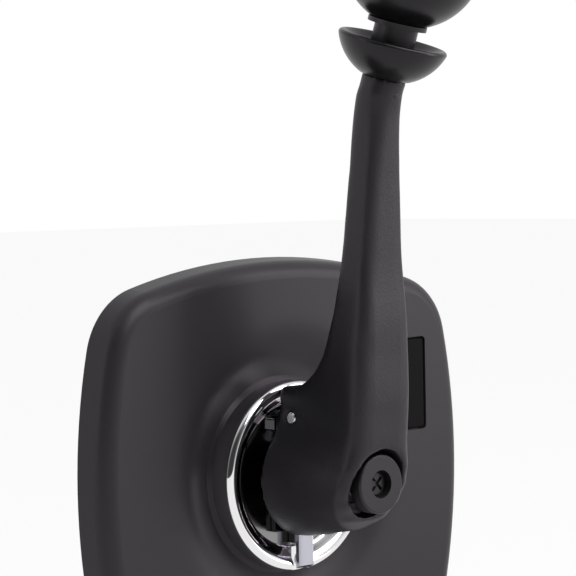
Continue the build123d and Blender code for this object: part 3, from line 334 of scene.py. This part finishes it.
def mix_colours(start, share, first, second):
    inputs = {0: share, mix_first: first, mix_second: second}
    return start.make("ShaderNodeMix", {"data_type": "RGBA"}, inputs, mix_result)


def finish(name, dark, light, rough, rough_spread=0.08, metallic=0.0, cloud=60.0, grain=2000.0,
           grain_height=0.00002, stretch=(1, 1, 1), speckle=0.0, specular=0.5):
    """A material: two tones, a roughness that drifts, and a grain in relief."""
    material = bpy.data.materials.new(name)
    start = empty_tree(material)
    drift = noise(start, cloud)
    fine = noise(start, grain, stretch, detail=3.0)
    mask = drift * (1 - speckle) + fine * speckle
    bump = start.make(
        "ShaderNodeBump", inputs={"Height": fine, "Strength": 1.0, "Distance": grain_height}
    )
    shader = start.make(
        "ShaderNodeBsdfPrincipled",
        inputs={
            "Base Color": mix_colours(start, mask, (*dark, 1.0), (*light, 1.0)),
            "Roughness": drift * rough_spread + (rough - rough_spread / 2),
            "Metallic": metallic,
            "Specular IOR Level": specular,
            "Specular Tint": specular_tint,
            "Normal": bump,
        },
    )
    start.make("ShaderNodeOutputMaterial", inputs={"Surface": shader})
    return material


def grey(level, violet=0.0):
    """A neutral colour, or a little violet."""
    return (level * (1 + violet), level, level * (1 + 1.6 * violet))


# %% Finishes of this control
recipes = {
    "black_moulding": dict(
        dark=grey(0.018, 0.09), light=grey(0.026, 0.09), rough=0.38, rough_spread=0.06,
        cloud=25.0, grain=2600.0, grain_height=0.000012, speckle=0.25, specular=0.27),
    "badge": dict(
        dark=grey(0.006), light=grey(0.008), rough=0.34, rough_spread=0.05,
        cloud=40.0, grain=3000.0, grain_height=0.000004, specular=0.03),
    "lever_coat": dict(
        dark=grey(0.008, 0.09), light=grey(0.015, 0.09), rough=0.42, rough_spread=0.06,
        cloud=40.0, grain=1500.0, grain_height=0.00007, speckle=0.6, specular=0.36),
    "chrome": dict(
        dark=grey(0.80), light=grey(0.86), rough=0.05, rough_spread=0.03, metallic=1.0,
        cloud=30.0, grain=400.0, grain_height=0.0000006),
    "bright_steel": dict(
        dark=grey(0.55), light=grey(0.68), rough=0.22, rough_spread=0.12, metallic=1.0,
        grain=900.0, stretch=(1, 1, 0.06), grain_height=0.000003),
    "steel": dict(
        dark=grey(0.38), light=grey(0.50), rough=0.30, rough_spread=0.12, metallic=1.0,
        grain=1500.0, stretch=(0.2, 1, 0.2), grain_height=0.000004),
    # On solids of this slot this is their own colour. On the hub shaft and the button's plunger it
    # is painted shade.
    "black_steel": dict(
        dark=grey(0.010), light=grey(0.018), rough=0.36, rough_spread=0.12, metallic=0.4,
        cloud=120.0, grain=1800.0),
    "zinc_steel": dict(
        dark=(0.42, 0.44, 0.47), light=(0.56, 0.56, 0.53), rough=0.34, rough_spread=0.14,
        metallic=1.0, cloud=45.0, grain=1400.0, grain_height=0.000006),
    "knob_plastic": dict(
        dark=grey(0.006), light=grey(0.008), rough=0.28, rough_spread=0.05,
        cloud=30.0, grain=900.0, grain_height=0.000004, specular=0.30),
    "button_plastic": dict(
        dark=grey(0.009, 0.06), light=grey(0.014, 0.06), rough=0.40,
        cloud=90.0, grain=2400.0, grain_height=0.00001, speckle=0.3, specular=0.36),
    "brass": dict(
        dark=(0.56, 0.40, 0.16), light=(0.68, 0.50, 0.22), rough=0.28, rough_spread=0.10,
        metallic=1.0, grain=1200.0, stretch=(1, 1, 0.1), grain_height=0.000004),
    "bronze": dict(
        dark=(0.40, 0.25, 0.12), light=(0.52, 0.34, 0.18), rough=0.40, rough_spread=0.12,
        metallic=1.0, cloud=300.0, grain=3500.0),
    "cast_aluminium": dict(
        dark=grey(0.42), light=grey(0.54), rough=0.48, rough_spread=0.12, metallic=1.0,
        cloud=70.0, grain=1100.0, grain_height=0.00005),
    "rubber": dict(
        dark=grey(0.012), light=grey(0.018), rough=0.75, rough_spread=0.10,
        cloud=80.0, grain=1500.0),
    "nylon": dict(
        dark=(0.55, 0.53, 0.47), light=(0.63, 0.61, 0.56), rough=0.50, rough_spread=0.10,
        cloud=90.0, grain=1500.0),
    "switch_plastic": dict(
        dark=grey(0.014), light=grey(0.020), rough=0.50, cloud=90.0, grain=2200.0),
    # Painted shade: chrome darkened for the guide disc, which sits in the shade inside the ring.
    "dark_chrome": dict(
        dark=grey(0.22), light=grey(0.30), rough=0.14, rough_spread=0.06, metallic=1.0,
        cloud=120.0, grain=600.0, grain_height=0.000001),
}
finishes = {slot: finish(f"{slot}_finish", **recipe) for slot, recipe in recipes.items()}


def dress(mesh, name):
    """Give a mesh one finish."""
    mesh.materials.clear()
    mesh.materials.append(finishes[name])


print(len(finishes), "finishes")

# %% [markdown]
# ## The slider's steel and its painted shade
#
# The lock slider is bright steel on the tongue that comes out over the ring. Behind the ring's lip
# its colour is painted near black, as painted shade for the shade inside the ring and behind the
# lever. The one colour turns into the other over a little more than a millimetre of depth, at the
# ring's lip.

# %% The slider's steel
tongue_start = -0.0152
tongue_bright = -0.0165
tongue_colour = (0.50, 0.50, 0.56, 1.0)


def slider_shaded_steel():
    # The body's two greys are painted shade. They are near black, not the colour of the steel.
    material = finish("slider_painted_shade_finish", grey(0.04), grey(0.06), 0.22, metallic=1.0,
                      grain=900.0, grain_height=0.000003)
    tree = material.node_tree
    start = Socket(tree)
    coords = start.make("ShaderNodeTexCoord", out="Object")
    # This is 1 past the ring's lip, where the tongue keeps its own bright colour, and 0 behind it,
    # where the painted shade stays.
    depth = start.make("ShaderNodeSeparateXYZ", inputs={0: coords}, out="Y")
    out_of_shade = start.make(
        "ShaderNodeMapRange",
        {"interpolation_type": "SMOOTHSTEP"},
        {"Value": depth, "From Min": tongue_start, "From Max": tongue_bright,
         "To Min": 0.0, "To Max": 1.0},
    )
    shader = tree.nodes["Principled BSDF"]
    painted_shade_colour = Socket(tree, shader.inputs["Base Color"].links[0].from_socket)
    slider_colour = mix_colours(start, out_of_shade, painted_shade_colour, tongue_colour)
    tree.links.new(slider_colour.output, shader.inputs["Base Color"])
    return material


finishes["slider_shaded_steel"] = slider_shaded_steel()
print("bright from", round(-tongue_bright * mm, 1), "mm in front of the panel")

# %% [markdown]
# ## The lever's casting
#
# The real arm is a casting. Its hub face leans back below the shaft, so the round button stands
# proud of its lower rim. The boot is a little fuller than the solid, and every edge is soft under
# the coat. The skin of the solid is made again with small even faces, and then shaped the way a
# pattern maker would with filler and a file: each step moves it by a smooth amount that depends on
# where it is. Depth is measured forwards from the panel and height up from the shaft, both in
# millimetres, and each table below gives the amounts at a few stops.

# %% Values between stops
def part_way(value, low, high):
    """How far a value has come from low to high, from 0 to 1."""
    return min(max((value - low) / (high - low), 0.0), 1.0)


def ramp(value, stops):
    """A smooth value between stops, each a place and its value."""
    for (low, first), (high, last) in zip(stops, stops[1:]):
        if value <= high:
            share = part_way(value, low, high)
            share = share * share * (3.0 - 2.0 * share)
            return first + (last - first) * share
    return stops[-1][1]


# %% [markdown]
# ### The arm
#
# Above the boot the arm is a rounded box that narrows, leans forward and turns round at the neck.
# Each row is a height, the depth of the centre, half the width, half the depth, and how square the
# section is: 2 is an ellipse, and a larger number has tighter corners. Only the outer skin moves,
# so the passages inside the arm stay as they are.

# %% The arm
arm_sections = (
    (45.0, 49.6, 11.3, 7.7, 5.0),
    (62.0, 50.6, 10.2, 7.2, 4.5),
    (78.3, 51.8, 9.0, 6.7, 4.0),
    (88.7, 52.5, 8.3, 6.5, 4.0),
    (99.0, 53.2, 7.7, 6.45, 3.6),
    (104.2, 53.6, 7.35, 6.5, 3.4),
    (112.0, 54.1, 7.0, 6.75, 3.0),
    (119.7, 54.9, 6.95, 6.9, 2.6),
    (124.9, 55.9, 7.15, 7.1, 2.3),
    (130.0, 57.3, 7.5, 7.1, 2.1),
    (136.0, 59.2, 7.5, 7.1, 2.0),
)
arm_share = ((48.0, 0.0), (76.0, 1.0), (126.0, 1.0), (130.5, 0.0))
outer_skin = 0.78  # points nearer the centre than this share of the section are inside


def arm_section(height):
    """Centre depth, half width, half depth and squareness, on a curve through the stops."""
    for place in range(1, len(arm_sections) - 2):
        before, first, last, after = arm_sections[place - 1:place + 3]
        if height <= last[0]:
            break
    rise = last[0] - first[0]
    t = part_way(height, first[0], last[0])
    near_first = (2 * t - 3) * t * t + 1
    near_last = (3 - 2 * t) * t * t
    leaving = ((t - 2) * t + 1) * t
    arriving = (t - 1) * t * t
    return [
        near_first * first[i] + near_last * last[i] + rise * (
            leaving * (last[i] - before[i]) / (last[0] - before[0])
            + arriving * (after[i] - first[i]) / (after[0] - first[0])
        )
        for i in range(1, len(first))
    ]


def shape_arm(x, depth, height):
    """Draw the outer skin of the arm to a rounded box, and leave the passages alone."""
    centre, half_width, half_depth, squareness = arm_section(height)
    across, along = x / half_width, (depth - centre) / half_depth
    reach = (abs(across) ** squareness + abs(along) ** squareness) ** (1 / squareness)
    share = ramp(height, arm_share)
    if reach < outer_skin or share == 0.0:
        return x, depth, height
    scale = 1.0 + (1.0 / reach - 1.0) * share
    return x * scale, centre + (depth - centre) * scale, height


print("arm:", len(arm_sections), "sections")

# %% [markdown]
# ### The boot and its face
#
# The face leans back towards its lower edge and swells a little above the button. The lean fades
# out with depth: down to the floor of the button's well, or to the middle of the boot's side
# outside it. The rear wall above the shaft comes nearer the panel, and the rear of the boot grows
# outwards below and beside the shaft.

# %% The boot
arm_foot = 48.0
well_radius = 11.8
well_floor = 41.5
boot_middle = 28.0
face_depth = 52.8
face_lean = (
    (-20.0, -13.0), (-16.0, -8.6), (-11.5, -4.9), (-6.0, -2.6), (0.0, -0.5), (6.0, 0.9),
    (12.0, 1.5), (24.0, 0.9), (44.0, 0.0),
)
rear_shift = 1.3
rear_from, rear_to = 24.0, 18.0
rear_heights = ((6.0, 0.0), (20.0, 1.0))
fuller_by = 0.08
fuller_from, fuller_to = 53.0, 22.0
fuller_heights = ((4.0, 1.0), (22.0, 0.0))
fuller_radii = ((12.5, 0.0), (16.0, 1.0))


def shape_casting(x, depth, height):
    """Where a point of the solid's skin goes on the casting."""
    if height > arm_foot:
        return shape_arm(x, depth, height)
    radius = sqrt(x * x + height * height)
    still = well_floor if radius < well_radius else boot_middle
    depth_moved = depth + ramp(height, face_lean) * part_way(depth, still, face_depth)
    depth_moved -= rear_shift * part_way(depth, rear_from, rear_to) * ramp(height, rear_heights)
    fuller = fuller_by * ramp(height, fuller_heights) * ramp(radius, fuller_radii)
    fuller *= part_way(depth, fuller_from, fuller_to)
    return x * (1.0 + fuller), depth_moved, height * (1.0 + fuller)


print("the face at the boot's lower edge leans back by", -face_lean[0][1], "mm or less")

# %% [markdown]
# ### Softening
#
# Plain smoothing shrinks a thin part. Each turn here goes in and then a little further out, which
# rounds the edges and keeps the girth. A second pass goes over the two front corners above the
# button, and both fade out with height, so the joint with the collar stays crisp.

# %% Softening
soft_heights = ((14.0, 0.0), (30.0, 1.0), (128.0, 1.0), (134.0, 0.0))
soft_turns, soft_factors = 60, (0.5, -0.52)
corner_heights = ((4.0, 0.0), (14.0, 1.0), (40.0, 1.0), (72.0, 0.0))
corner_turns, corner_factors = 50, (0.5,)
corner_side = 0.0065
corner_radius = 0.0135
corner_front = -0.045
corner_low, corner_high = 0.004, 0.080


def smooth(work, verts, factor):
    bmesh.ops.smooth_vert(
        work, verts=verts, factor=factor, use_axis_x=True, use_axis_y=True, use_axis_z=True
    )


def soften(work, verts, turns, factors, heights):
    """Smooth some points for some turns, as much as their height asks for."""
    before = [vert.co.copy() for vert in verts]
    for _ in range(turns):
        for factor in factors:
            smooth(work, verts, factor)
    for vert, old in zip(verts, before):
        vert.co = old.lerp(vert.co, ramp(old.z * mm, heights))


def on_corner(place):
    """Whether a point is on the front corners between the button and the arm."""
    beside = abs(place.x) > corner_side and place.xz.length > corner_radius
    return beside and place.y < corner_front and corner_low < place.z < corner_high


print("soft from", soft_heights[0][0], "to", soft_heights[-1][0], "mm above the shaft")

# %% [markdown]
# ### The finished casting
#
# The voxel skin is fine enough to hold the button's well and the slot of the slider, and coarse
# enough to keep the casting to a few tens of thousands of faces.

# %% The casting
skin_size = 0.0008
skin_factor = 0.5  # one turn of smoothing, which takes the voxels' steps off


def even_skin(work, name):
    """A mesh of small even faces over the working mesh."""
    blank = new_object(name, mesh_from(work, name))
    remesh = blank.modifiers.new("skin", "REMESH")
    remesh.mode = "VOXEL"
    remesh.voxel_size = skin_size
    evaluated = blank.evaluated_get(bpy.context.evaluated_depsgraph_get())
    mesh = bpy.data.meshes.new_from_object(evaluated)
    bpy.data.objects.remove(blank)
    return mesh


def lever_casting():
    mesh = even_skin(merged_copy("lever_arm"), "casting_blank")
    work = bmesh.new()
    work.from_mesh(mesh)
    for vert in work.verts:
        x, depth, height = shape_casting(vert.co.x * mm, -vert.co.y * mm, vert.co.z * mm)
        vert.co = (x / mm, -depth / mm, height / mm)
    smooth(work, work.verts, skin_factor)
    soften(work, work.verts[:], soft_turns, soft_factors, soft_heights)
    corners = [vert for vert in work.verts if on_corner(vert.co)]
    soften(work, corners, corner_turns, corner_factors, corner_heights)
    smooth_faces(work)
    work.to_mesh(mesh)
    work.free()
    mesh.name = "lever_casting"
    dress(mesh, "lever_coat")
    casting = new_object("lever_casting", mesh)
    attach(casting, "lever")
    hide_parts("lever_arm")
    print("lever casting:", len(mesh.polygons), "faces")


lever_casting()

# %% [markdown]
# ## The chrome ring
#
# Chrome shows every flaw of a surface, so the ring is spun again from a fine profile: a nearly
# straight wall, a round lip, and a broad slope that runs down to the disc inside it. A spin keeps
# the section exact all the way round. The notch that locks the lever in neutral is then pressed
# into the lip, between cuts at its two walls.

# %% Spinning the ring
ring_outside = ((0.0323, 0.0136), (0.0322, 0.0150), (0.0312, 0.0159), (0.0300, 0.0159))
ring_slope = ((0.0300, 0.0159), (0.0281, 0.0159), (0.0262, 0.0130), (0.0243, 0.0124))
ring_back = ((0.0243, 0.0035), (0.0290, 0.0035), (0.0290, 0.0060), (0.0323, 0.0060))
curve_points = 20
spin_steps = 240
notch_half_width = 0.0042
notch_floor = 0.0115
notch_wall = 0.00008
sharp_edge = radians(40)


def ring_section():
    """The profile, from the outer wall over the lip to the back: radius is X, depth is -Y."""
    section = []
    for curve in (ring_outside, ring_slope):
        stops = [Vector((radius, -depth, 0)) for radius, depth in curve]
        section += interpolate_bezier(*stops, curve_points)[:-1]
    return section + [Vector((radius, -depth, 0)) for radius, depth in (ring_slope[-1], *ring_back)]


def press_notch(work):
    """Cut the ring at both walls of the notch, and push what lies between back to its floor."""
    for x in (-notch_half_width, -notch_half_width + notch_wall,
              notch_half_width - notch_wall, notch_half_width):
        geometry = work.verts[:] + work.edges[:] + work.faces[:]
        bmesh.ops.bisect_plane(
            work, geom=geometry, dist=merge_distance, plane_co=(x, 0, 0), plane_no=(1, 0, 0)
        )
    for vert in work.verts:
        if abs(vert.co.x) < notch_half_width - notch_wall / 2 and vert.co.z < 0:
            vert.co.y = max(vert.co.y, -notch_floor)
    bmesh.ops.remove_doubles(work, verts=work.verts, dist=2 * merge_distance)


def chrome_ring():
    work = bmesh.new()
    verts = [work.verts.new(place) for place in ring_section()]
    edges = [work.edges.new(pair) for pair in zip(verts, verts[1:] + verts[:1])]
    bmesh.ops.spin(
        work, geom=verts + edges, cent=(0, 0, 0), axis=(0, 1, 0), angle=2 * pi,
        steps=spin_steps, use_merge=True,
    )
    press_notch(work)
    bmesh.ops.recalc_face_normals(work, faces=work.faces)
    smooth_faces(work)
    mesh = mesh_from(work, "chrome_ring")
    mesh.set_sharp_from_angle(angle=sharp_edge)
    dress(mesh, "chrome")
    ring = new_object("chrome_ring", mesh)
    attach(ring, "housing")
    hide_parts("detent_ring")
    print("chrome ring:", len(mesh.polygons), "faces")


chrome_ring()

# %% [markdown]
# ## The springs
#
# Three coil springs are pushed together when a slide moves. Each coil is copied into a mesh of its
# own, in steel, on the body that carries it, and its solid is hidden.

# %% Coils
def coil(name, solid_name, body):
    """A spring's copy in its own mesh, in steel, on the body that carries it."""
    mesh = mesh_from(merged_copy(solid_name), name)
    dress(mesh, "steel")
    spring = new_object(name, mesh)
    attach(spring, body)
    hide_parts(solid_name)
    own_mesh(spring)


coil("lock_coil", "lock_spring", "lever")
coil("button_coil", "button_spring", "lever")
coil("detent_coil", "detent_spring", "housing")

# %% [markdown]
# ## Dressing the solids
#
# Each solid takes the finish of its material slot, by name. Four pieces in the shade behind the
# lever take darker finishes than the rest of their slot, as painted shade.

# %% Assign by slot
slot_of = {part["node"]: part["material_slot"] for part in frame["record"]["subparts"]}
# Painted shade: these pieces take darker finishes for the shade they sit in.
painted_shade_finishes = {
    "guide_disc": "dark_chrome",
    "lock_slider": "slider_shaded_steel",
    "hub_shaft": "black_steel",
    "button_plunger": "black_steel",
}
for name, node in frame["nodes"].items():
    dress(node.data, painted_shade_finishes.get(name, slot_of[name]))
print("dressed", len(slot_of), "solids")
